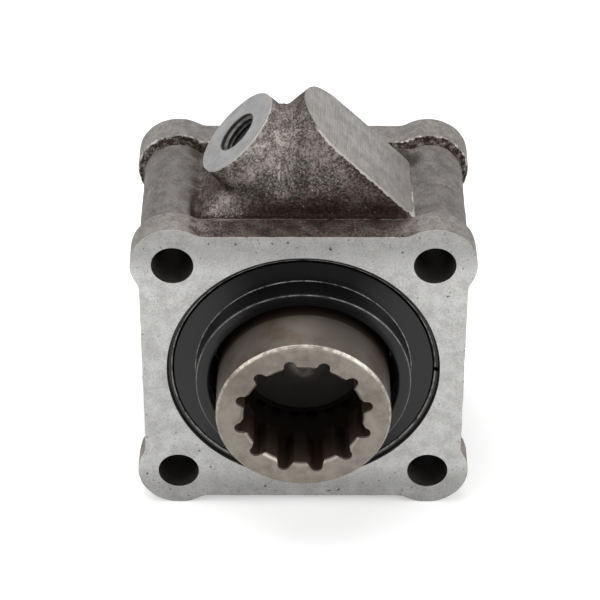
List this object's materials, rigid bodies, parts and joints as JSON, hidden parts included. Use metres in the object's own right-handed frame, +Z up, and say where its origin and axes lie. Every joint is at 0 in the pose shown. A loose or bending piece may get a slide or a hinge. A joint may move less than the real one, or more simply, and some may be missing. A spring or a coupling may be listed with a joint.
{
  "type": "power take off unit",
  "caption": "Air-shifted power take off with a square four-bolt flange at each end, a forked port boss and a splined sliding sleeve.",
  "frame": {"origin": "centre of the gearbox flange face, on the shaft axis", "axes": "+Y along the shaft axis from the gearbox face to the pump face, +Z up through the forked boss, +X to the right seen from the gearbox"},
  "size_m": [0.106, 0.0882, 0.1364],
  "materials": {
    "cast": "sand cast, machined faces",
    "cover": "dark satin",
    "wire": "drawn wire",
    "sleeve": "turned, oiled",
    "shaft": "turned",
    "plug": "dark oiled",
    "rubber": "smooth",
    "spring": "shot peened",
    "washer": "plain",
    "piston": "turned",
    "bearing": "ground",
    "ball": "polished",
    "cage": "pressed",
    "clip": "blackened spring steel",
    "case": "pressed"
  },
  "bodies": {
    "casing": {"housing": "cast", "cover": "cover", "cover_o_ring": "rubber", "snap_ring": "wire", "narrow_bore_o_ring": "rubber", "main_bearing_outer_ring": "bearing", "bearing_circlip": "clip", "seal_case": "case", "seal_lip": "rubber", "seal_garter_spring": "wire", "return_spring": "spring"},
    "shaft": {"output_shaft": "shaft", "shaft_plug": "plug", "plug_o_ring": "rubber", "main_bearing_inner_ring": "bearing", "shaft_circlip": "clip"},
    "main_rollers": {"main_bearing_balls": "ball", "main_bearing_cage": "cage"},
    "piston": {"piston": "piston", "piston_o_ring": "rubber", "spring_seat": "washer", "piston_circlip": "clip", "shift_bearing_outer_ring": "bearing"},
    "shift_rollers": {"shift_bearing_balls": "ball", "shift_bearing_cage": "cage"},
    "sleeve": {"coupling_sleeve": "sleeve", "shift_bearing_inner_ring": "bearing", "sleeve_circlip": "clip"}
  },
  "joints": [
    {"name": "piston_shift", "type": "slide", "parent": "casing", "child": "piston", "axis": [0, -1, 0], "range_m": [0, 0.0098], "stiffness_N_per_m": 8000, "springref_m": -0.01, "deforming": ["return_spring"]},
    {"name": "output_spin", "type": "hinge", "parent": "casing", "child": "shaft", "pos_m": [0, 0, 0], "axis": [0, 1, 0], "continuous": true},
    {"name": "sleeve_shift", "type": "slide", "parent": "shaft", "child": "sleeve", "axis": [0, -1, 0], "range_m": [0, 0.0098]},
    {"name": "main_cage_spin", "type": "hinge", "parent": "casing", "child": "main_rollers", "pos_m": [0, 0, 0], "axis": [0, 1, 0], "continuous": true},
    {"name": "shift_cage_spin", "type": "hinge", "parent": "piston", "child": "shift_rollers", "pos_m": [0, 0, 0], "axis": [0, 1, 0], "continuous": true}
  ],
  "couplings": [
    {"joint": "sleeve_shift", "follows": "piston_shift", "ratio": 1},
    {"joint": "main_cage_spin", "follows": "output_spin", "ratio": 0.4475},
    {"joint": "shift_cage_spin", "follows": "output_spin", "ratio": 0.4622}
  ]
}
